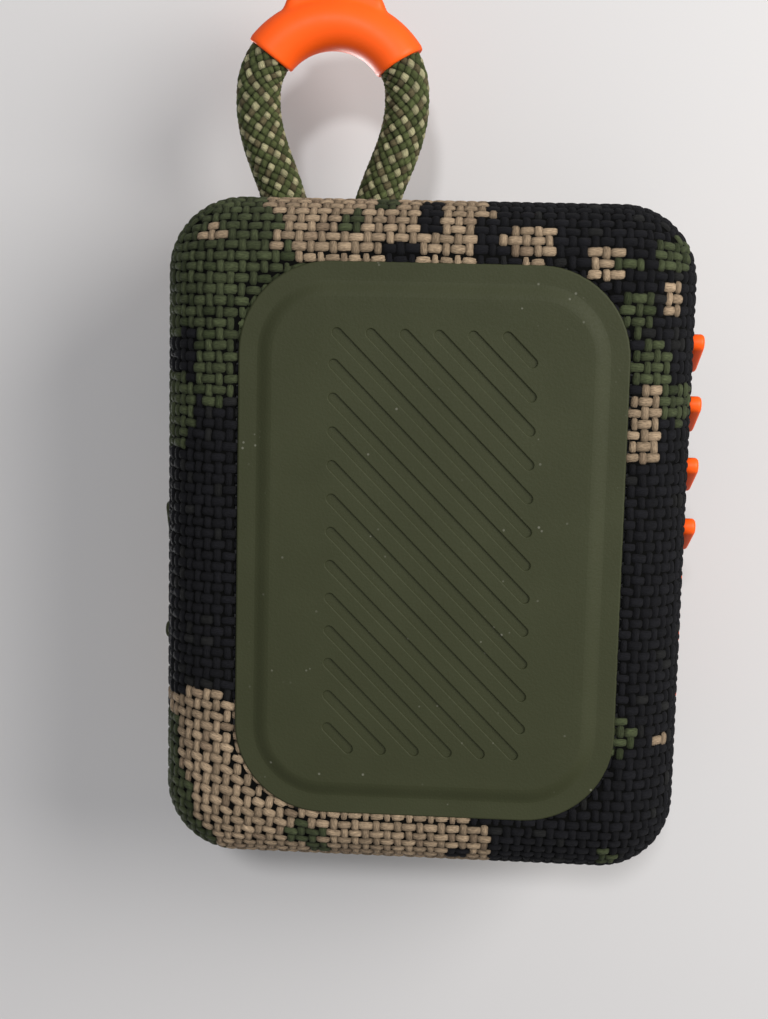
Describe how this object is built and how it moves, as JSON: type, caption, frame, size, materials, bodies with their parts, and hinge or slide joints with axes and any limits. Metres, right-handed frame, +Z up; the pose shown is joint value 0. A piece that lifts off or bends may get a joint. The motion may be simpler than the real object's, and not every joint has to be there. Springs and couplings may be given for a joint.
{
  "type": "portable speaker",
  "caption": "Palm-size wireless speaker in a coarse camouflage weave, with a ribbed rubber back pad, a rope carry loop in an orange sleeve, raised play keys and slanted orange feet.",
  "frame": {"origin": "on the table under the middle of the body, feet down", "axes": "+Z up, -Y out of the cloth front, +Y out of the back pad, the rope loop leaves the -X side"},
  "size_m": [0.1246, 0.0422, 0.0757],
  "materials": {
    "camo_cloth": "coarse plain-woven cloth in a camouflage pattern",
    "rope": "braided cord, green with tan flecks",
    "orange_silicone": "smooth satin silicone",
    "olive_rubber": "matte moulded rubber",
    "housing_plastic": "moulded, fine texture",
    "grille_metal": "powder coated perforated sheet",
    "seal_rubber": "soft seal",
    "screw_steel": "zinc plated",
    "port_steel": "drawn and polished",
    "board_laminate": "solder resist over glass laminate",
    "part_plastic": "moulded packages",
    "cell_wrap": "shrink film",
    "wire_cover": "extruded insulation",
    "magnet": "sintered, coated",
    "cone_paper": "pressed pulp, sealed",
    "coil_copper": "enamelled windings",
    "spider_cloth": "resin-stiffened cloth",
    "lens": "clear moulded light pipe"
  },
  "bodies": {
    "chassis": {"cover_fabric": "camo_cloth", "rear_housing": "housing_plastic", "front_housing": "housing_plastic", "front_grille": "grille_metal", "housing_gasket": "seal_rubber", "back_pad": "olive_rubber", "foot_bars": "orange_silicone", "side_panel": "olive_rubber", "housing_screws": "screw_steel", "loop_anchor": "housing_plastic", "rope_ends": "screw_steel", "status_light": "lens", "usb_shell": "port_steel", "usb_tongue": "part_plastic", "key_board": "board_laminate", "key_switches": "part_plastic", "side_board": "board_laminate", "side_switches": "part_plastic", "main_board": "board_laminate", "board_parts": "part_plastic", "board_screws": "screw_steel", "battery": "cell_wrap", "battery_leads": "wire_cover", "driver_leads": "wire_cover", "driver_basket": "housing_plastic", "driver_magnet": "magnet", "driver_top_plate": "magnet", "driver_spider": "spider_cloth", "driver_surround": "seal_rubber", "driver_screws": "screw_steel", "radiator_surround": "seal_rubber"},
    "loop": {"loop_rope": "rope", "loop_sleeve": "orange_silicone"},
    "minus_key": {"minus_key": "olive_rubber"},
    "play_key": {"play_key": "olive_rubber"},
    "plus_key": {"plus_key": "olive_rubber"},
    "power_button": {"power_button": "olive_rubber"},
    "pairing_button": {"pairing_button": "olive_rubber"},
    "cone": {"driver_cone": "cone_paper", "voice_coil": "coil_copper", "dust_cap": "cone_paper"},
    "radiator": {"radiator_plate": "cone_paper", "radiator_weight": "magnet"}
  },
  "joints": [
    {"name": "minus_key_press", "type": "slide", "parent": "chassis", "child": "minus_key", "axis": [0, 0, -1], "range_m": [0, 0.0003], "stiffness_N_per_m": 1500},
    {"name": "play_key_press", "type": "slide", "parent": "chassis", "child": "play_key", "axis": [0, 0, -1], "range_m": [0, 0.0003], "stiffness_N_per_m": 1500},
    {"name": "plus_key_press", "type": "slide", "parent": "chassis", "child": "plus_key", "axis": [0, 0, -1], "range_m": [0, 0.0003], "stiffness_N_per_m": 1500},
    {"name": "power_press", "type": "slide", "parent": "chassis", "child": "power_button", "axis": [-1, 0, 0], "range_m": [0, 0.0003], "stiffness_N_per_m": 1500},
    {"name": "pairing_press", "type": "slide", "parent": "chassis", "child": "pairing_button", "axis": [-1, 0, 0], "range_m": [0, 0.0003], "stiffness_N_per_m": 1500},
    {"name": "loop_swing", "type": "hinge", "parent": "chassis", "child": "loop", "pos_m": [-0.0472, 0, 0.0538], "axis": [0, 0, 1], "range_deg": [-25, 25], "stiffness_Nm_per_rad": 0.02},
    {"name": "cone_travel", "type": "slide", "parent": "chassis", "child": "cone", "axis": [0, -1, 0], "range_m": [-0.0008, 0.0008], "stiffness_N_per_m": 1500},
    {"name": "radiator_travel", "type": "slide", "parent": "chassis", "child": "radiator", "axis": [0, -1, 0], "range_m": [-0.001, 0.001], "stiffness_N_per_m": 900}
  ]
}
